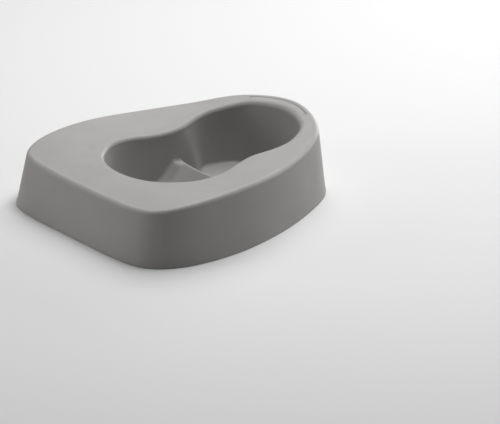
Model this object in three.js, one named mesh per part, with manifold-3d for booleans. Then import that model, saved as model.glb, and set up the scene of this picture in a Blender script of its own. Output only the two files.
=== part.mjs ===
// A contoured hospital bedpan: one injection moulding in graphite plastic, drawn as its named regions.
// Millimetres, +Z up. +X runs from the low, wide end to the tall, narrow end, and the pan is the same
// on both sides of y = 0. The origin is the middle of the base, in the plane that the pan stands on.
import * as THREE from 'three';
import { mergeVertices } from 'three/addons/utils/BufferGeometryUtils.js';
import Module from 'manifold-3d';

// Driving dimensions
const HALF_LENGTH = 182;
const WALL = 2.2; // thickness of the moulding
const GAP = 0.3; // clearance between neighbouring regions
const STEPS = 3; // facets for each control point of an outline

// Seat
const EDGE_RADIUS = 5.5; // round-over between the seat and the skirt
const LIP_RADII = [5.5, 5.5, 5.5, 5.5, 5.5, 5.5, 6, 8, 9]; // between seat and bowl, wide end to narrow end
const LIP_TAIL = 3; // straight part that hangs below each round-over
const SEAT_HALF_WIDTH = 130;
const SEAT_EDGE_HEIGHTS = [62, 68.8, 70.8, 72, 72.9, 72.8, 72.6, 80.2, 90.6]; // wide end to narrow end
const SEAT_DISH_DEPTHS = [4, 4.7, 8.5, 12, 17.5, 6, 0.5, 0, 0]; // how far the middle is sunk, same stations

// Skirt and foot
const SKIRT_DRAFT = 0.17; // inward lean for each millimetre of height
const FOOT_FLARE = 0.5;
const FOOT_FLARE_HEIGHT = 12;
const FOOT_HEIGHT = 8;
const FOOT_THICKNESS = 3;

// Bowl
const FLOOR_TOP = 4;
const FLOOR_FILLET = 4.5;
const WAIST = 6 * STEPS; // where the two lobes' walls meet, in stations from the narrow end

// Splash ridge across the waist of the bowl
const RIDGE_CREST_X = 31;
const RIDGE_CREST_HEIGHT = 19; // at mid-width, above the floor
const RIDGE_WALL_RISE = 2.6; // how much higher the crest ends at the bowl wall
const RIDGE_HALF_WIDTH = 48; // mid-width to the bowl wall
const RIDGE_BACK_LENGTH = 7; // the steep face towards the narrow end
const RIDGE_RAMP_RUNS = [21, 34]; // from the foot of the slope to the crest, at mid-width and at the wall
const RIDGE_TOP_WIDTHS = [2.8, 12]; // flat top beside the crest, at mid-width and at the wall
const RIDGE_END = [42, 46.5]; // the flat top widens between these distances from mid-width

// Half outlines as control points of closed cubic B-splines, narrow end to wide end
const footControls = [
  [HALF_LENGTH + 5, 0], [172.5, 46.5], [144.5, 84.7], [110.5, 101.7], [75, 116], [36, 129], [-4, 138],
  [-46, 144], [-88, 144.5], [-131, 138.5], [-164, 123], [-HALF_LENGTH - 1.5, 96], [-HALF_LENGTH + 1.5, 0],
];
const throatControls = [
  [150.5, 0], [137.5, 35], [125.5, 51], [94.5, 63], [69, 63.5], [48, 58], [33, 54], [3, 60],
  [-29, 71], [-64.5, 70.5], [-84.5, 56.5], [-103.5, 42], [-115, 0],
];
const floorControls = [
  [141, 0], [126, 32], [114, 46], [91, 55], [71, 57], [59, 44.5], [55, 41.5], [7, 50],
  [-29, 61.5], [-62, 60], [-80, 47], [-94, 33], [-102, 0],
];

const wasm = await Module();
wasm.setup();

// Four weights of the uniform cubic B-spline at t between two control points
function splineWeights(t) {
  const s = 1 - t;
  return [s ** 3, 3 * t ** 3 - 6 * t ** 2 + 4, 3 * s ** 3 - 6 * s ** 2 + 4, t ** 3].map((w) => w / 6);
}

// A closed outline, mirrored across y = 0, with the unit normal that points away from its middle
function closedOutline(half) {
  const mirrored = half.slice(1, -1).reverse().map(([x, y]) => [x, -y]);
  const controls = [...half, ...mirrored];
  const count = controls.length;
  const points = [];
  for (let i = 0; i < count * STEPS; i++) {
    const k = Math.floor(i / STEPS);
    const weights = splineWeights((i % STEPS) / STEPS);
    const point = new THREE.Vector2();
    weights.forEach((w, j) => {
      const [x, y] = controls[(k + j - 1 + count) % count];
      point.add(new THREE.Vector2(x * w, y * w));
    });
    points.push(point);
  }
  return points.map((point, i) => {
    const before = points[(i - 1 + points.length) % points.length];
    const after = points[(i + 1) % points.length];
    const along = after.clone().sub(before).normalize();
    return { point, normal: new THREE.Vector2(along.y, -along.x) };
  });
}

// Smooth height along the pan from evenly spaced stations
function alongPan(stations, x) {
  const span = (2 * HALF_LENGTH) / (stations.length - 1);
  const place = THREE.MathUtils.clamp((x + HALF_LENGTH) / span, 0, stations.length - 1);
  const k = Math.floor(place);
  const last = stations.length - 1;
  return splineWeights(place - k).reduce((sum, w, j) => {
    const index = THREE.MathUtils.clamp(k + j - 1, 0, last);
    return sum + w * stations[index];
  }, 0);
}

// Top of the seat: it rises towards the narrow end and is dished across its width
function seatHeight(point) {
  const dish = alongPan(SEAT_DISH_DEPTHS, point.x) * (1 - (point.y / SEAT_HALF_WIDTH) ** 2);
  return alongPan(SEAT_EDGE_HEIGHTS, point.x) - dish;
}

// How far the skirt's outer face lies inside the foot's outline at a height
function skirtInset(z) {
  const flare = Math.min(z / FOOT_FLARE_HEIGHT, 1);
  return FOOT_FLARE * (1 - (1 - flare) ** 2) + SKIRT_DRAFT * z;
}

const at = ({ point, normal }, outward, z) =>
  new THREE.Vector3(point.x + normal.x * outward, point.y + normal.y * outward, z);

const foot = closedOutline(footControls);
const throat = closedOutline(throatControls);
const floor = closedOutline(floorControls);

// Everything that the regions share at one place round the pan
const stations = foot.map((footEdge, i) => {
  const crown = at(footEdge, -skirtInset(70) - EDGE_RADIUS, 0);
  const edgeZ = seatHeight(crown) - EDGE_RADIUS;
  const edgeInset = skirtInset(edgeZ);
  const lipRadius = alongPan(LIP_RADII, throat[i].point.x);
  const lipZ = seatHeight(at(throat[i], lipRadius, 0)) - lipRadius;
  return { footEdge, throat: throat[i], floor: floor[i], edgeZ, edgeInset, lipRadius, lipZ };
});

// The bowl wall's inner face at a height, moved outward by a thickness
function bowlWall(station, z, outward) {
  const down = THREE.MathUtils.clamp((station.lipZ - z) / (station.lipZ - FLOOR_TOP), 0, 1);
  return at(station.throat, outward, z).lerp(at(station.floor, outward, z), down);
}

const skirtWall = (station, z, inward) => at(station.footEdge, -skirtInset(z) - inward, z);

// A solid from one loop of points at each station: a closed ring, or a strip with two ends. A strip's
// loops run along one face and back along the other, and its ends are closed between the two.
function ringGeometry(loops, isStrip = false) {
  const size = loops[0].length;
  const last = (loops.length - 1) * size;
  const positions = loops.flat().flatMap((v) => [v.x, v.y, v.z]);
  const index = [];
  loops.slice(isStrip ? 1 : 0).forEach((_, i) => {
    const next = (i + 1) % loops.length;
    for (let j = 0; j < size; j++) {
      const k = (j + 1) % size;
      const [a, b, c, d] = [i * size + j, i * size + k, next * size + k, next * size + j];
      index.push(a, d, c, a, c, b);
    }
  });
  for (let a = 0; isStrip && a < size / 2 - 1; a++) {
    const [b, c, d] = [a + 1, size - 2 - a, size - 1 - a];
    index.push(a, b, c, a, c, d);
    index.push(last + a, last + c, last + b, last + a, last + d, last + c);
  }
  const geometry = new THREE.BufferGeometry();
  geometry.setAttribute('position', new THREE.Float32BufferAttribute(positions, 3));
  geometry.setIndex(index);
  return geometry;
}

// A closed solid from a stack of loops, its two ends closed by fans about the loops' middles
function stackGeometry(loops) {
  const size = loops[0].length;
  const middle = (loop) => loop.reduce((sum, v) => sum.add(v), new THREE.Vector3()).divideScalar(size);
  const points = [...loops.flat(), middle(loops[0]), middle(loops.at(-1))];
  const positions = points.flatMap((v) => [v.x, v.y, v.z]);
  const top = (loops.length - 1) * size;
  const index = [];
  for (let j = 0; j < size; j++) {
    const k = (j + 1) % size;
    for (let base = 0; base < top; base += size) {
      index.push(base + j, base + k, base + size + k, base + j, base + size + k, base + size + j);
    }
    index.push(k, j, loops.length * size);
    index.push(top + j, top + k, loops.length * size + 1);
  }
  const geometry = new THREE.BufferGeometry();
  geometry.setAttribute('position', new THREE.Float32BufferAttribute(positions, 3));
  geometry.setIndex(index);
  return geometry;
}

function toSolid(geometry) {
  const bare = geometry.clone();
  bare.deleteAttribute('normal');
  bare.deleteAttribute('uv');
  const merged = mergeVertices(bare);
  const vertProperties = new Float32Array(merged.attributes.position.array);
  const triVerts = new Uint32Array(merged.index.array);
  return new wasm.Manifold(new wasm.Mesh({ numProp: 3, vertProperties, triVerts }));
}

function toGeometry(solid) {
  const { vertProperties, triVerts } = solid.getMesh();
  const geometry = new THREE.BufferGeometry();
  geometry.setAttribute('position', new THREE.BufferAttribute(vertProperties, 3));
  geometry.setIndex(new THREE.BufferAttribute(triVerts, 1));
  return geometry;
}

// Evenly spaced values from a start to an end, both included
function sweep(from, to, steps) {
  return Array.from({ length: steps + 1 }, (_, i) => from + ((to - from) * i) / steps);
}

// A ring one wall thick, from the points that its face has at a station and a depth under the surface
function shellRing(face) {
  return ringGeometry(stations.map((station) => [...face(station, 0), ...face(station, WALL).reverse()]));
}

// Seat edge: the round-over between the skirt and the seat
function seatEdge() {
  return shellRing((station, depth) => {
    const { footEdge, edgeZ, edgeInset } = station;
    const radius = EDGE_RADIUS - depth;
    const bend = sweep(Math.atan(SKIRT_DRAFT), Math.PI / 2, 3).map((a) =>
      at(footEdge, -edgeInset - EDGE_RADIUS + radius * Math.cos(a), edgeZ + radius * Math.sin(a)));
    return [skirtWall(station, edgeZ - LIP_TAIL, depth), ...bend];
  });
}

// Seat: the dished and rising plate between the seat's edge and the bowl's lip
function seatDeck() {
  return shellRing(({ footEdge, throat: rim, edgeInset, lipRadius }, depth) => {
    const start = at(footEdge, -edgeInset - EDGE_RADIUS - GAP, 0);
    const end = at(rim, lipRadius + GAP, 0);
    return sweep(0, 1, 5).map((share) => {
      const place = start.clone().lerp(end, share);
      return place.setZ(seatHeight(place) - depth);
    });
  });
}

// Bowl lip: the round-over between the seat and the bowl's wall
function bowlLip() {
  return shellRing((station, depth) => {
    const { throat: rim, lipRadius, lipZ } = station;
    const radius = lipRadius - depth;
    const bend = sweep(Math.PI / 2, 0, 3).map((a) =>
      at(rim, lipRadius - radius * Math.cos(a), lipZ + radius * Math.sin(a)));
    return [...bend, bowlWall(station, lipZ - LIP_TAIL, depth)];
  });
}

// Skirt: the leaning outer wall between the seat's edge and the foot
function outerSkirt() {
  return ringGeometry(stations.map((station) => {
    const heights = [FOOT_HEIGHT + GAP, FOOT_FLARE_HEIGHT, station.edgeZ - LIP_TAIL - GAP];
    const outside = heights.map((z) => skirtWall(station, z, 0));
    const inside = heights.map((z) => skirtWall(station, z, WALL)).reverse();
    return [...outside, ...inside];
  }));
}

// Foot: the thicker, out-turned band that the pan stands on
function footRim() {
  const heights = sweep(0, FOOT_HEIGHT, 2);
  return ringGeometry(stations.map((station) => [
    ...heights.map((z) => skirtWall(station, z, 0)),
    ...heights.map((z) => skirtWall(station, z, FOOT_THICKNESS)).reverse(),
  ]));
}

// Points of the bend between the bowl's wall and its floor, for a thickness outside the inner face
function floorBend(station, depth) {
  const bend = new THREE.QuadraticBezierCurve3(
    bowlWall(station, FLOOR_TOP + FLOOR_FILLET, depth),
    at(station.floor, depth, FLOOR_TOP - depth),
    at(station.floor, -FLOOR_FILLET, FLOOR_TOP - depth),
  );
  return bend.getPoints(4);
}

// Draws a strip's two ends back, so that two strips that meet keep the gap
function drawBack(loops) {
  const towards = (loop, next) =>
    loop.map((v, j) => v.clone().lerp(next[j], GAP / 2 / v.distanceTo(next[j])));
  return [towards(loops[0], loops[1]), ...loops.slice(1, -1), towards(loops.at(-1), loops.at(-2))];
}

// Bowl wall of one lobe, between two stations: from the seat's lip down to the edge of the floor, bend
// included
function bowlSide(first, last) {
  const places = sweep(first, last, last - first).map((i) => stations.at(i % stations.length));
  const loops = places.map((station) => {
    const heights = sweep(station.lipZ - LIP_TAIL - GAP, FLOOR_TOP + FLOOR_FILLET, 2).slice(0, -1);
    const face = (depth) => [
      ...heights.map((z) => bowlWall(station, z, depth)), ...floorBend(station, depth),
    ];
    return [...face(0), ...face(WALL).reverse()];
  });
  return ringGeometry(drawBack(loops), true);
}

function bowlFloor() {
  const edge = stations.map((station) => at(station.floor, -FLOOR_FILLET - GAP, 0));
  const shape = new THREE.Shape(edge.map((v) => new THREE.Vector2(v.x, v.y)));
  const plate = new THREE.ExtrudeGeometry(shape, { depth: WALL, bevelEnabled: false });
  return toGeometry(toSolid(plate.translate(0, 0, FLOOR_TOP - WALL)));
}

// The space inside the bowl, up to a height, kept clear of the wall by the gap
function bowlSpace(height) {
  const levels = stations.map((station) => [
    ...floorBend(station, -GAP).reverse(), bowlWall(station, height, -GAP),
  ]);
  return toSolid(stackGeometry(levels[0].map((_, level) => levels.map((column) => column[level]))));
}

// Splash ridge: a ramp from the wide end to a crest that dips at mid-width, trimmed to the bowl's wall
function splashRidge() {
  const base = FLOOR_TOP - 1;
  const loops = sweep(-1.4, 1.4, 14).map((share) => {
    const y = share * RIDGE_HALF_WIDTH;
    const rise = Math.min(share ** 4, 1);
    const widening = THREE.MathUtils.smoothstep(Math.abs(y), ...RIDGE_END);
    const crestZ = FLOOR_TOP + RIDGE_CREST_HEIGHT + RIDGE_WALL_RISE * rise;
    const topX = RIDGE_CREST_X - THREE.MathUtils.lerp(...RIDGE_TOP_WIDTHS, widening);
    const rampX = RIDGE_CREST_X - THREE.MathUtils.lerp(...RIDGE_RAMP_RUNS, rise);
    const profile = [
      [topX, crestZ - 0.3],
      [RIDGE_CREST_X, crestZ],
      [RIDGE_CREST_X + 1, crestZ - 1],
      [RIDGE_CREST_X + RIDGE_BACK_LENGTH, base],
      [rampX, base],
    ];
    return profile.map(([x, z]) => new THREE.Vector3(x, y, z));
  });
  const block = toSolid(stackGeometry(loops));
  const space = bowlSpace(FLOOR_TOP + RIDGE_CREST_HEIGHT + 2 * RIDGE_WALL_RISE);
  return toGeometry(block.intersect(space));
}

const graphite = { color: 0x8f8d8b, roughness: 0.5, metalness: 0 };

function region(name, geometry) {
  const mesh = new THREE.Mesh(geometry, new THREE.MeshStandardMaterial(graphite));
  mesh.name = name;
  return mesh;
}

const bedpan = new THREE.Group();
bedpan.add(
  region('seat_edge', seatEdge()),
  region('seat_deck', seatDeck()),
  region('bowl_lip', bowlLip()),
  region('outer_skirt', outerSkirt()),
  region('foot_rim', footRim()),
  region('bowl_wall_narrow', bowlSide(-WAIST, WAIST)),
  region('bowl_wall_wide', bowlSide(WAIST, stations.length - WAIST)),
  region('bowl_floor', bowlFloor()),
  region('splash_ridge', splashRidge()),
);

export default bedpan;
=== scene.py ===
import math

import bpy
import numpy as np
from mathutils import Matrix, Vector


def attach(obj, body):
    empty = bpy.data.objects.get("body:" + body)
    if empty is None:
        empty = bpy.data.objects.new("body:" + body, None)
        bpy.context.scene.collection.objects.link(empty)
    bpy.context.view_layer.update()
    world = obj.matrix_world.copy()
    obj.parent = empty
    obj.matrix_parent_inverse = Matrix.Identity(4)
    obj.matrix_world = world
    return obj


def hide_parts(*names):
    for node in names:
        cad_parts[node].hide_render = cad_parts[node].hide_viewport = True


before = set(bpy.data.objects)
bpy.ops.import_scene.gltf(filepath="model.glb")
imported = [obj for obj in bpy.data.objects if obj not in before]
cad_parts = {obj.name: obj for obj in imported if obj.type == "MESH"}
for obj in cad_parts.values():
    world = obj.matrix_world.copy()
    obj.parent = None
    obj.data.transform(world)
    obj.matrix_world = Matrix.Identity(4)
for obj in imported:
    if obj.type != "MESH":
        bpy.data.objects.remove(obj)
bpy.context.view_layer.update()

# The looks of a contoured bedpan: one smooth moulding in graphite plastic, in metres, in the frame's axes.
# +X runs from the low, wide end to the tall, narrow end, and z = 0 is the plane that the pan stands on.
# The skin is one surface with one thickness. It is cut into the frame's named regions, which keep the
# whole skin's normals, so that no seam shows between them.

MM = 0.001

# ---------------------------------------------------------------- sizes, the CAD's own, in millimetres
HALF_LENGTH = 182
WALL = 2.2
EDGE_RADIUS = 5.5
LIP_RADII = (5.5, 5.5, 5.5, 5.5, 5.5, 5.5, 6, 8, 9)
LIP_TAIL = 3
CROWN_HEIGHT = 70  # where the skirt's lean is taken to place the seat's edge
SEAT_HALF_WIDTH = 130
SEAT_EDGE_HEIGHTS = (62, 68.8, 70.8, 72, 72.9, 72.8, 72.6, 80.2, 90.6)
SEAT_DISH_DEPTHS = (4, 4.7, 8.5, 12, 17.5, 6, 0.5, 0, 0)
SKIRT_DRAFT = 0.17
FOOT_FLARE = 0.5
FOOT_FLARE_HEIGHT = 12
FOOT_HEIGHT = 8
FOOT_THICKNESS = 3
FOOT_ROUND = 1
FOOT_INNER_ROUND = 0.5
FLOOR_TOP = 4
FLOOR_FILLET = 4.5
RIDGE_CREST_X = 31
RIDGE_CREST_HEIGHT = 19
RIDGE_WALL_RISE = 2.6
RIDGE_HALF_WIDTH = 48
RIDGE_BACK_LENGTH = 7
RIDGE_RAMP_RUNS = (21, 34)
RIDGE_TOP_WIDTHS = (2.8, 12)
RIDGE_END = (42, 46.5)

# Half outlines as control points of closed cubic B-splines, narrow end to wide end
FOOT_CONTROLS = (
    (HALF_LENGTH + 5, 0), (172.5, 46.5), (144.5, 84.7), (110.5, 101.7), (75, 116), (36, 129), (-4, 138),
    (-46, 144), (-88, 144.5), (-131, 138.5), (-164, 123), (-HALF_LENGTH - 1.5, 96), (-HALF_LENGTH + 1.5, 0),
)
THROAT_CONTROLS = (
    (150.5, 0), (137.5, 35), (125.5, 51), (94.5, 63), (69, 63.5), (48, 58), (33, 54), (3, 60),
    (-29, 71), (-64.5, 70.5), (-84.5, 56.5), (-103.5, 42), (-115, 0),
)
FLOOR_CONTROLS = (
    (141, 0), (126, 32), (114, 46), (91, 55), (71, 57), (59, 44.5), (55, 41.5), (7, 50),
    (-29, 61.5), (-62, 60), (-80, 47), (-94, 33), (-102, 0),
)
HALF_TURN = len(FOOT_CONTROLS) - 1
FULL_TURN = 2 * HALF_TURN
WAIST = 6  # where the two lobes' walls meet, in control points from the narrow end

# Line engraved in the seat round the narrow end. Its ends are places, in control points round the pan,
# and turn in towards the bowl.
LINE_ENDS = (-0.95, 1.48)
LINE_FROM_EDGE = 3.4
LINE_RETURN = 3.2
LINE_HALF_WIDTH = 0.75
LINE_DEPTH = 1.1
LINE_ZONE = 7.4  # finely faceted band inside the edge, within the seat's narrowest place

# Round mark left by the moulding tool
WITNESS_CENTRE = (-92, 73)
WITNESS_RADIUS = 4.3
WITNESS_BEAD = 0.35
WITNESS_PROUD = 0.2
WITNESS_FACETS = (48, 10)  # round the ring, and round its bead

# How far from an edge its wear and its painted highlight reach
WEAR_AND_SHEEN_REACH = 3.5

# Facets of the skin
COLUMNS_PER_CONTROL = 10
FLOOR_CELLS = 32
CREST_STEPS = np.concatenate([np.arange(-14, -3, 1.5), np.arange(-3, 8.5, 0.5)])
LINE_STEPS = LINE_HALF_WIDTH * np.array([-1, -0.6, -0.25, 0.25, 0.6, 1])
LINE_END_SPEED = 38


# ---------------------------------------------------------------- the skin's formulas
def smooth(value, low, high):
    share = np.clip((value - low) / (high - low), 0, 1)
    return share * share * (3 - 2 * share)


def smooth_min(a, b, blend):
    share = np.clip(0.5 + 0.5 * (b - a) / blend, 0, 1)
    return b + (a - b) * share - blend * share * (1 - share)


def smooth_max(a, b, blend):
    return -smooth_min(-a, -b, blend)


def spline_weights(t):
    s = 1 - t
    return np.stack([s**3, 3 * t**3 - 6 * t**2 + 4, 3 * s**3 - 6 * s**2 + 4, t**3]) / 6


def spline_slopes(t):
    s = 1 - t
    return np.stack([-3 * s**2, 9 * t**2 - 12 * t, -9 * s**2 + 12 * s, 3 * t**2]) / 6


class Outline:
    """A closed outline, mirrored across y = 0, at places counted in control points from the narrow end."""

    def __init__(self, half, places):
        half = np.array(half, float)
        controls = np.concatenate([half, (half[1:-1] * (1, -1))[::-1]])
        k = np.floor(places).astype(int)
        t = places - k
        near = controls[(k[None] + np.arange(-1, 3)[:, None]) % len(controls)]
        self.point = (spline_weights(t)[:, :, None] * near).sum(0)
        along = (spline_slopes(t)[:, :, None] * near).sum(0)
        along /= np.linalg.norm(along, axis=1, keepdims=True)
        self.normal = np.stack([along[:, 1], -along[:, 0]], 1)

    def at(self, outward, z):
        """Points at a distance outside the outline and a height, for every place round it."""
        count = len(self.point)
        outward = np.broadcast_to(outward, count)
        flat = self.point + self.normal * outward[:, None]
        return np.column_stack([flat, np.broadcast_to(z, count)])


def along_pan(stations, x):
    stations = np.array(stations, float)
    last = len(stations) - 1
    place = np.clip((x + HALF_LENGTH) / (2 * HALF_LENGTH / last), 0, last)
    k = np.floor(place).astype(int)
    near = stations[np.clip(k[None] + np.arange(-1, 3).reshape(-1, *[1] * k.ndim), 0, last)]
    return (spline_weights(place - k) * near).sum(0)


def seat_height(points):
    x, y = points[..., 0], points[..., 1]
    dish = along_pan(SEAT_DISH_DEPTHS, x) * (1 - (y / SEAT_HALF_WIDTH) ** 2)
    return along_pan(SEAT_EDGE_HEIGHTS, x) - dish


def skirt_inset(z):
    flare = np.minimum(z / FOOT_FLARE_HEIGHT, 1)
    return FOOT_FLARE * (1 - (1 - flare) ** 2) + SKIRT_DRAFT * z


def ridge_height(x, y, depth):
    """Height of the splash ridge above the floor. depth moves its faces inwards, for the underside."""
    out = np.minimum(np.abs(y) / RIDGE_HALF_WIDTH, 1.15)
    crest = RIDGE_CREST_HEIGHT + RIDGE_WALL_RISE * out**4
    top = np.interp(smooth(np.abs(y), *RIDGE_END), (0, 1), RIDGE_TOP_WIDTHS)
    run = np.interp(out**4, (0, 1), RIDGE_RAMP_RUNS)
    ramp = (x - RIDGE_CREST_X + run - 0.6 * depth) * crest / (run - top)
    back = (RIDGE_CREST_X + RIDGE_BACK_LENGTH - x - depth) * crest / RIDGE_BACK_LENGTH
    body = smooth_min(smooth_min(ramp, crest, 0.6), back, 0.8)
    return smooth_max(body, 0 * x, 4)


def bowl_bottom(points, depth=0):
    return FLOOR_TOP - depth + ridge_height(points[..., 0], points[..., 1], depth)


# ---------------------------------------------------------------- columns and rows of the skin
def column_places():
    """Places round the pan, with extra columns at the engraved line's ends and along the ridge's crest."""
    even = np.arange(FULL_TURN * COLUMNS_PER_CONTROL) / COLUMNS_PER_CONTROL
    ends = [end % FULL_TURN + step for end in LINE_ENDS for step in LINE_STEPS / LINE_END_SPEED]
    fine = np.linspace(5, 8, 500)
    side = Outline(FLOOR_CONTROLS, fine).point
    crest = np.interp(RIDGE_CREST_X + CREST_STEPS, side[::-1, 0], fine[::-1])
    places = np.concatenate([even, ends, crest])
    places = np.sort(np.concatenate([places, (FULL_TURN - places) % FULL_TURN]).round(4))
    return places[np.concatenate([[True], np.diff(places) > 0.0025])]


places = column_places()
foot = Outline(FOOT_CONTROLS, places)
throat = Outline(THROAT_CONTROLS, places)
floor = Outline(FLOOR_CONTROLS, places)
edge_z = seat_height(foot.at(-skirt_inset(CROWN_HEIGHT) - EDGE_RADIUS, 0)) - EDGE_RADIUS
edge_inset = skirt_inset(edge_z)
lip_radius = along_pan(LIP_RADII, throat.point[:, 0])
lip_z = seat_height(throat.at(lip_radius, 0)) - lip_radius


def bowl_wall(z, outward):
    down = np.clip((lip_z - z) / (lip_z - FLOOR_TOP), 0, 1)[:, None]
    return throat.at(outward, z) * (1 - down) + floor.at(outward, z) * down


def foot_rows(depth):
    """The band that the pan stands on, from its flat lower face up."""
    rows = []
    round_over = FOOT_ROUND if depth == 0 else FOOT_INNER_ROUND
    for z in (*(round_over * (1 - np.cos(np.linspace(0, math.pi / 2, 5)))), 2.5, 4.5, 6.5, FOOT_HEIGHT):
        drop = max(round_over - z, 0)
        corner = round_over - math.sqrt(round_over**2 - drop**2)
        inset = -corner - skirt_inset(z) if depth == 0 else corner - skirt_inset(z) - FOOT_THICKNESS
        rows.append(foot.at(inset, z))
    return rows


def skirt_rows(depth):
    """The leaning outer wall, from the foot's flare up."""
    rows = []
    top = edge_z - LIP_TAIL
    for z in (9, 10, 11, FOOT_FLARE_HEIGHT):
        rows.append(foot.at(-skirt_inset(z) - depth, z))
    for share in np.linspace(0, 1, 7)[1:]:
        z = FOOT_FLARE_HEIGHT + (top - FOOT_FLARE_HEIGHT) * share
        rows.append(foot.at(-skirt_inset(z) - depth, z))
    return rows


def line_sink(from_edge):
    """How deep the engraved line is at a distance inside the seat's edge, round the pan."""
    turn = (places + HALF_TURN) % FULL_TURN - HALF_TURN
    low, high = LINE_ENDS
    past = np.maximum(low - turn, turn - high) * LINE_END_SPEED
    inward = from_edge - LINE_FROM_EDGE
    along = np.hypot(np.maximum(past, 0), inward)
    back = np.hypot(past, max(inward - LINE_RETURN, -inward, 0))
    return LINE_DEPTH * (1 - smooth(np.minimum(along, back), 0.2 * LINE_HALF_WIDTH, LINE_HALF_WIDTH))


def edge_rows(depth):
    """The round-over between the skirt and the seat."""
    rows = [foot.at(-edge_inset - depth, edge_z)]
    radius = EDGE_RADIUS - depth
    for angle in np.linspace(math.atan(SKIRT_DRAFT), math.pi / 2, 9):
        inset = edge_inset + EDGE_RADIUS - radius * math.cos(angle)
        rows.append(foot.at(-inset, edge_z + radius * math.sin(angle)))
    return rows


def deck_rows(depth):
    """The plate of the seat: a finely faceted band for the engraved line, then evenly to the lip."""
    rows = []
    for from_edge in (1.2, *(LINE_FROM_EDGE + LINE_STEPS), 5, 5.8, 6.4, 6.8, 7.1, LINE_ZONE):
        row = foot.at(-edge_inset - EDGE_RADIUS - from_edge, 0)
        row[:, 2] = seat_height(row) - depth - (line_sink(from_edge) if depth == 0 else 0)
        rows.append(row)
    start, end = rows[-1], throat.at(lip_radius, 0)
    for share in np.linspace(0, 1, 15)[1:-1]:
        row = start * (1 - share) + end * share
        row[:, 2] = seat_height(row) - depth
        rows.append(row)
    return rows


def lip_rows(depth):
    """The round-over between the seat and the bowl."""
    rows = []
    radius = lip_radius - depth
    for angle in np.linspace(math.pi / 2, 0, 9):
        rows.append(throat.at(lip_radius - radius * math.cos(angle), lip_z + radius * math.sin(angle)))
    rows.append(bowl_wall(lip_z - LIP_TAIL, depth))
    return rows


def wall_rows(depth):
    """The bowl's side, with the bend into the floor or into the ridge's ends."""
    foot_of_wall = floor.at(0, 0)
    for _ in range(3):
        level = bowl_bottom(foot_of_wall)
        foot_of_wall = bowl_wall(level, 0)
    top, low = lip_z - LIP_TAIL, level + FLOOR_FILLET
    rows = [bowl_wall(top + (low - top) * share, depth) for share in np.linspace(0, 1, 13)[1:]]
    start = rows[-1]
    corner = bowl_wall(level, depth)
    end = corner - np.column_stack([floor.normal, 0 * level]) * (FLOOR_FILLET + depth)
    end[:, 2] = bowl_bottom(end, depth)
    corner[:, 2] = bowl_bottom(corner, depth)
    for t in np.linspace(0, 1, 9)[1:]:
        rows.append(start * (1 - t) ** 2 + corner * 2 * t * (1 - t) + end * t**2)
    return rows


def bottom_grid(edge, depth):
    """Lines of points straight across the floor, from each place on its edge to the mirrored place."""
    count = len(edge)
    across = np.linspace(1, -1, FLOOR_CELLS + 1)[1:-1]
    lines = []
    for i in range(1, count // 2):
        line = np.zeros((len(across), 3))
        line[:, 0] = edge[i, 0]
        line[:, 1] = edge[i, 1] * across
        line[:, 2] = bowl_bottom(line, depth)
        lines.append(line)
    return lines


REGIONS = (
    ("foot_rim", foot_rows),
    ("outer_skirt", skirt_rows),
    ("seat_edge", edge_rows),
    ("seat_deck", deck_rows),
    ("bowl_lip", lip_rows),
    ("bowl_wall", wall_rows),
)


def skin_points(depth):
    rows = [row for _, make in REGIONS for row in make(depth)]
    return np.concatenate(rows + bottom_grid(rows[-1], depth))


def skin_faces():
    """Faces of the skin by region, the same for its outside and its underside.

    Each region after the first starts on the last row of the one before it.
    """
    count = len(places)
    faces = {}
    row = 0
    for name, make in REGIONS:
        last = row + len(make(0)) - (1 if name == "foot_rim" else 0)
        quads = []
        for r in range(row, last):
            a = r * count + np.arange(count)
            b = r * count + (np.arange(count) + 1) % count
            quads.append(np.column_stack([a, b, b + count, a + count]))
        faces[name] = np.concatenate(quads).tolist()
        row = last
    edge = row * count
    inner = (row + 1) * count
    cells = FLOOR_CELLS - 1
    wall = np.array(faces.pop("bowl_wall"))
    turn = places[wall[:, 0] % count]
    narrow = (turn < WAIST) | (turn >= FULL_TURN - WAIST)
    faces["bowl_wall_narrow"], faces["bowl_wall_wide"] = wall[narrow].tolist(), wall[~narrow].tolist()
    faces["bowl_floor"], faces["splash_ridge"] = [], []

    def line(i):
        if i in (0, count // 2):
            return [edge + i]
        inside = [inner + (i - 1) * cells + j for j in range(cells)]
        return [edge + i, *inside, edge + count - i]

    ridge_from = RIDGE_CREST_X - RIDGE_RAMP_RUNS[1] - 3
    ridge_to = RIDGE_CREST_X + RIDGE_BACK_LENGTH + 3
    edge_x = outside[edge:edge + count, 0]
    for i in range(count // 2):
        middle = (edge_x[i] + edge_x[i + 1]) / 2
        group = faces["splash_ridge" if ridge_from < middle < ridge_to else "bowl_floor"]
        here, beyond = line(i), line(i + 1)
        if len(here) == 1:
            group.extend([here[0], beyond[j], beyond[j + 1]] for j in range(len(beyond) - 1))
        elif len(beyond) == 1:
            group.extend([here[j], beyond[0], here[j + 1]] for j in range(len(here) - 1))
        else:
            group.extend([here[j], beyond[j], beyond[j + 1], here[j + 1]] for j in range(len(here) - 1))
    return faces


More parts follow.
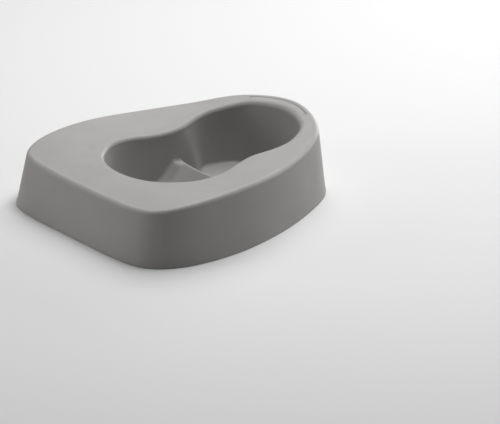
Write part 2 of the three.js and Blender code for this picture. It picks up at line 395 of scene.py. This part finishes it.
def edge_wear_and_sheen():
    """How far each point of the outside is polished by wear and lightened as a painted highlight: most on the
    rims of the seat and on the foot.
    """
    count = len(places)
    row_count = sum(len(make(0)) for _, make in REGIONS)
    rows = outside[:row_count * count].reshape(row_count, count, 3)
    seat_edge = foot.at(-edge_inset - 0.3 * EDGE_RADIUS, edge_z + 0.7 * EDGE_RADIUS)
    lip = throat.at(0.3 * lip_radius, lip_z + 0.7 * lip_radius)
    rims = (seat_edge, lip, foot.at(0, 0))
    nearest = np.min([np.linalg.norm(rows - rim, axis=2) for rim in rims], axis=0)
    # Nearness to the rims: it lowers the roughness as wear, and it lightens the colour as a painted highlight
    # band.
    wear_and_sheen = np.zeros(len(outside), np.float32)
    wear_and_sheen[:row_count * count] = np.exp(-((nearest / WEAR_AND_SHEEN_REACH) ** 2)).ravel()
    return wear_and_sheen


outside = skin_points(0)
underside = skin_points(WALL)
faces_by_region = skin_faces()
outside_wear_and_sheen = edge_wear_and_sheen()


# ---------------------------------------------------------------- pieces cut from the skin
def skin_normals(points, faces):
    mesh = bpy.data.meshes.new("whole_skin")
    mesh.from_pydata(points, [], faces)
    normals = np.zeros(len(points) * 3, np.float32)
    mesh.vertex_normals.foreach_get("vector", normals)
    bpy.data.meshes.remove(mesh)
    return normals.reshape(-1, 3)


all_faces = [face for faces in faces_by_region.values() for face in faces]
outside_normals = skin_normals(outside, all_faces)
underside_normals = -skin_normals(underside, all_faces)


def skin_piece(name, faces):
    """A closed piece of the skin: its outside, its underside and the cut between them."""
    used = sorted({v for face in faces for v in face})
    new = {v: i for i, v in enumerate(used)}
    count = len(used)
    outer = [[new[v] for v in face] for face in faces]
    rim_wear_and_sheen = {(f[i], f[(i + 1) % len(f)]) for f in outer for i in range(len(f))}
    rim = [edge for edge in rim_wear_and_sheen if edge[::-1] not in rim_wear_and_sheen]
    under = [[v + count for v in reversed(face)] for face in outer]
    cut = [[b, a, a + count, b + count] for a, b in sorted(rim)]
    points = np.concatenate([outside[used], underside[used]]) * MM
    mesh = bpy.data.meshes.new(name)
    mesh.from_pydata(points.tolist(), [], outer + under + cut)
    mesh.update()
    vertex_normals = np.concatenate([outside_normals[used], underside_normals[used]])
    loop_normals = []
    for polygon in mesh.polygons:
        if polygon.index < len(outer) + len(under):
            loop_normals.extend(vertex_normals[v].tolist() for v in polygon.vertices)
        else:
            loop_normals.extend([tuple(polygon.normal)] * len(polygon.vertices))
    mesh.polygons.foreach_set("use_smooth", [True] * len(mesh.polygons))
    mesh.normals_split_custom_set(loop_normals)
    # Nearness to the rims, for wear and for a painted highlight in the colour
    wear_and_sheen = mesh.attributes.new("wear_and_sheen", "FLOAT", "POINT")
    wear_and_sheen.data.foreach_set("value", np.concatenate([outside_wear_and_sheen[used], np.zeros(count, np.float32)]))
    piece = bpy.data.objects.new(name + "_skin", mesh)
    bpy.context.scene.collection.objects.link(piece)
    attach(piece, "root")
    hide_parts(name)
    return piece


def witness_ring():
    """The faint raised ring that an ejector pin of the mould leaves on the seat."""
    around, across = (np.linspace(0, 2 * math.pi, count, endpoint=False) for count in WITNESS_FACETS)
    turns, section = around[:, None], across[None]
    radius = WITNESS_RADIUS + WITNESS_BEAD * np.cos(section)
    x = WITNESS_CENTRE[0] + radius * np.cos(turns)
    y = WITNESS_CENTRE[1] + radius * np.sin(turns)
    seat = seat_height(np.stack([x, y], 2))
    z = seat + WITNESS_PROUD - WITNESS_BEAD * (1 - np.sin(section))
    count = section.size
    faces = []
    for i in range(len(turns)):
        for j in range(count):
            k = (j + 1) % count
            here, beyond = i * count, (i + 1) % len(turns) * count
            faces.append([here + j, beyond + j, beyond + k, here + k])
    mesh = bpy.data.meshes.new("witness_ring")
    mesh.from_pydata((np.stack([x, y, z], 2).reshape(-1, 3) * MM).tolist(), [], faces)
    mesh.polygons.foreach_set("use_smooth", [True] * len(faces))
    ring = bpy.data.objects.new("witness_ring", mesh)
    bpy.context.scene.collection.objects.link(ring)
    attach(ring, "root")
    return ring


# ---------------------------------------------------------------- materials
def graphite_plastic():
    """Satin moulded plastic: fine grain, faint flow clouds, hairline rubs, and edges polished by wear and
    lightened as a painted highlight.
    """
    material = bpy.data.materials.new("graphite_plastic")
    material.use_nodes = True
    nodes, links = material.node_tree.nodes, material.node_tree.links
    shader = nodes["Principled BSDF"]
    shader.inputs["IOR"].default_value = 1.49
    shader.inputs["Specular IOR Level"].default_value = 0.3
    place = nodes.new("ShaderNodeTexCoord").outputs["Object"]

    def stretched(scale, turn):
        node = nodes.new("ShaderNodeMapping")
        node.inputs["Scale"].default_value = scale
        node.inputs["Rotation"].default_value = (0, 0, turn)
        links.new(place, node.inputs["Vector"])
        return node.outputs["Vector"]

    def noise(scale, detail, roughness=0.5, vector=place):
        node = nodes.new("ShaderNodeTexNoise")
        node.inputs["Scale"].default_value = scale
        node.inputs["Detail"].default_value = detail
        node.inputs["Roughness"].default_value = roughness
        links.new(vector, node.inputs["Vector"])
        return node.outputs["Fac"]

    def ramp(value, stops):
        node = nodes.new("ShaderNodeValToRGB")
        elements = node.color_ramp.elements
        for element, (position, colour) in zip(elements, stops):
            element.position = position
            element.color = colour
        links.new(value, node.inputs["Fac"])
        return node.outputs["Color"]

    def fit(value, from_low, from_high, to_low, to_high):
        node = nodes.new("ShaderNodeMapRange")
        for index, number in enumerate((from_low, from_high, to_low, to_high), 1):
            node.inputs[index].default_value = number
        links.new(value, node.inputs["Value"])
        return node.outputs["Result"]

    def combine(operation, a, b):
        node = nodes.new("ShaderNodeMath")
        node.operation = operation
        for value, socket in ((a, node.inputs[0]), (b, node.inputs[1])):
            links.new(value, socket)
        return node.outputs["Value"]

    def blend(share, a, b):
        node = nodes.new("ShaderNodeMix")
        node.data_type = "RGBA"
        links.new(share, node.inputs["Factor"])
        links.new(a, node.inputs["A"])
        node.inputs["B"].default_value = b
        return node.outputs["Result"]

    clouds = ramp(noise(14, 4, 0.55), [(0.3, (0.312, 0.303, 0.298, 1)), (0.72, (0.340, 0.331, 0.325, 1))])
    rim_wear_and_sheen = nodes.new("ShaderNodeAttribute")
    rim_wear_and_sheen.attribute_name = "wear_and_sheen"
    patches = fit(noise(60, 3, 0.6), 0.4, 0.62, 0.35, 1)
    wear_and_sheen = combine("MULTIPLY", rim_wear_and_sheen.outputs["Fac"], patches)
    # Lighter colour near the rims: partly wear, partly a painted highlight along the round-overs
    worn_and_highlit = blend(fit(wear_and_sheen, 0, 1, 0, 0.25), clouds, (0.40, 0.392, 0.385, 1))
    rubs_along = fit(noise(1, 3, 0.6, stretched((25, 700, 60), 0.5)), 0.68, 0.78, 0, 1)
    rubs_across = fit(noise(1, 3, 0.6, stretched((500, 22, 60), -0.35)), 0.69, 0.79, 0, 1)
    rubs = combine("MAXIMUM", rubs_along, rubs_across)
    links.new(blend(fit(rubs, 0, 1, 0, 0.16), worn_and_highlit, (0.46, 0.452, 0.445, 1)), shader.inputs["Base Color"])
    satin = fit(noise(45, 5, 0.6), 0.3, 0.7, 0.48, 0.6)
    satin = combine("SUBTRACT", satin, fit(wear_and_sheen, 0, 1, 0, 0.1))
    links.new(combine("ADD", satin, fit(rubs, 0, 1, 0, 0.08)), shader.inputs["Roughness"])
    grain = nodes.new("ShaderNodeBump")
    grain.inputs["Strength"].default_value = 0.25
    grain.inputs["Distance"].default_value = 0.00012
    links.new(noise(2600, 2), grain.inputs["Height"])
    links.new(grain.outputs["Normal"], shader.inputs["Normal"])
    return material


def make_moulding():
    plastic = graphite_plastic()
    pieces = [skin_piece(name, faces) for name, faces in faces_by_region.items()]
    for piece in (*pieces, witness_ring()):
        piece.data.materials.append(plastic)


make_moulding()


# ---------------------------------------------------------------- camera, floor and light
CAMERA_AZIMUTH = -45.486
CAMERA_ELEVATION = 23.279
CAMERA_ROLL = 3.424
CAMERA_DISTANCE = 3.0
CAMERA_TARGET = Vector((0.0308, -0.0679, 0))
LENS_MM = 186.6


def camera_axes(azimuth, elevation, roll):
    a, e, r = (math.radians(v) for v in (azimuth, elevation, roll))
    back = Vector((math.sin(a) * math.cos(e), -math.cos(a) * math.cos(e), math.sin(e)))
    side = (-back).cross(Vector((0, 0, 1))).normalized()
    up = side.cross(-back)
    return side * math.cos(r) + up * math.sin(r), up * math.cos(r) - side * math.sin(r), back


def make_camera():
    data = bpy.data.cameras.new("camera")
    data.sensor_width = 36
    data.lens = LENS_MM
    data.clip_end = 20
    camera = bpy.data.objects.new("camera", data)
    side, up, back = camera_axes(CAMERA_AZIMUTH, CAMERA_ELEVATION, CAMERA_ROLL)
    turn = Matrix((side, up, back)).transposed().to_4x4()
    camera.matrix_world = Matrix.Translation(CAMERA_TARGET + back * CAMERA_DISTANCE) @ turn
    bpy.context.scene.collection.objects.link(camera)
    bpy.context.scene.camera = camera


def make_floor():
    bpy.ops.mesh.primitive_plane_add(size=12, location=(0, 0, 0))
    plane = bpy.context.object
    plane.name = "floor"
    material = bpy.data.materials.new("floor_paint")
    material.use_nodes = True
    shader = material.node_tree.nodes["Principled BSDF"]
    shader.inputs["Base Color"].default_value = (0.66, 0.66, 0.66, 1)
    shader.inputs["Roughness"].default_value = 0.9
    shader.inputs["Specular IOR Level"].default_value = 0.1
    plane.data.materials.append(material)


def soft_box(name, place, size, power):
    data = bpy.data.lights.new(name, "AREA")
    data.size = size
    data.energy = power
    light = bpy.data.objects.new(name, data)
    light.location = place
    light.rotation_euler = (Vector((0, 0, 0.04)) - Vector(place)).to_track_quat("-Z", "Y").to_euler()
    bpy.context.scene.collection.objects.link(light)


def make_light():
    soft_box("overhead", (0.2, -0.1, 1.75), 0.6, 15)
    soft_box("high_back", (0.69, 0.48, 1.59), 1.4, 25)
    soft_box("low_end", (1.85, 0.35, 0.2), 1.2, 27)
    soft_box("low_right", (1.52, -0.88, 0.37), 0.8, 4)
    soft_box("low_left", (-1.52, 0.88, 0.37), 0.8, 9)
    world = bpy.data.worlds.new("world")
    world.use_nodes = True
    background = world.node_tree.nodes["Background"]
    background.inputs["Color"].default_value = (1, 1, 1, 1)
    background.inputs["Strength"].default_value = 0.02
    bpy.context.scene.world = world
    bpy.context.scene.view_settings.view_transform = "Standard"


make_camera()
make_floor()
make_light()
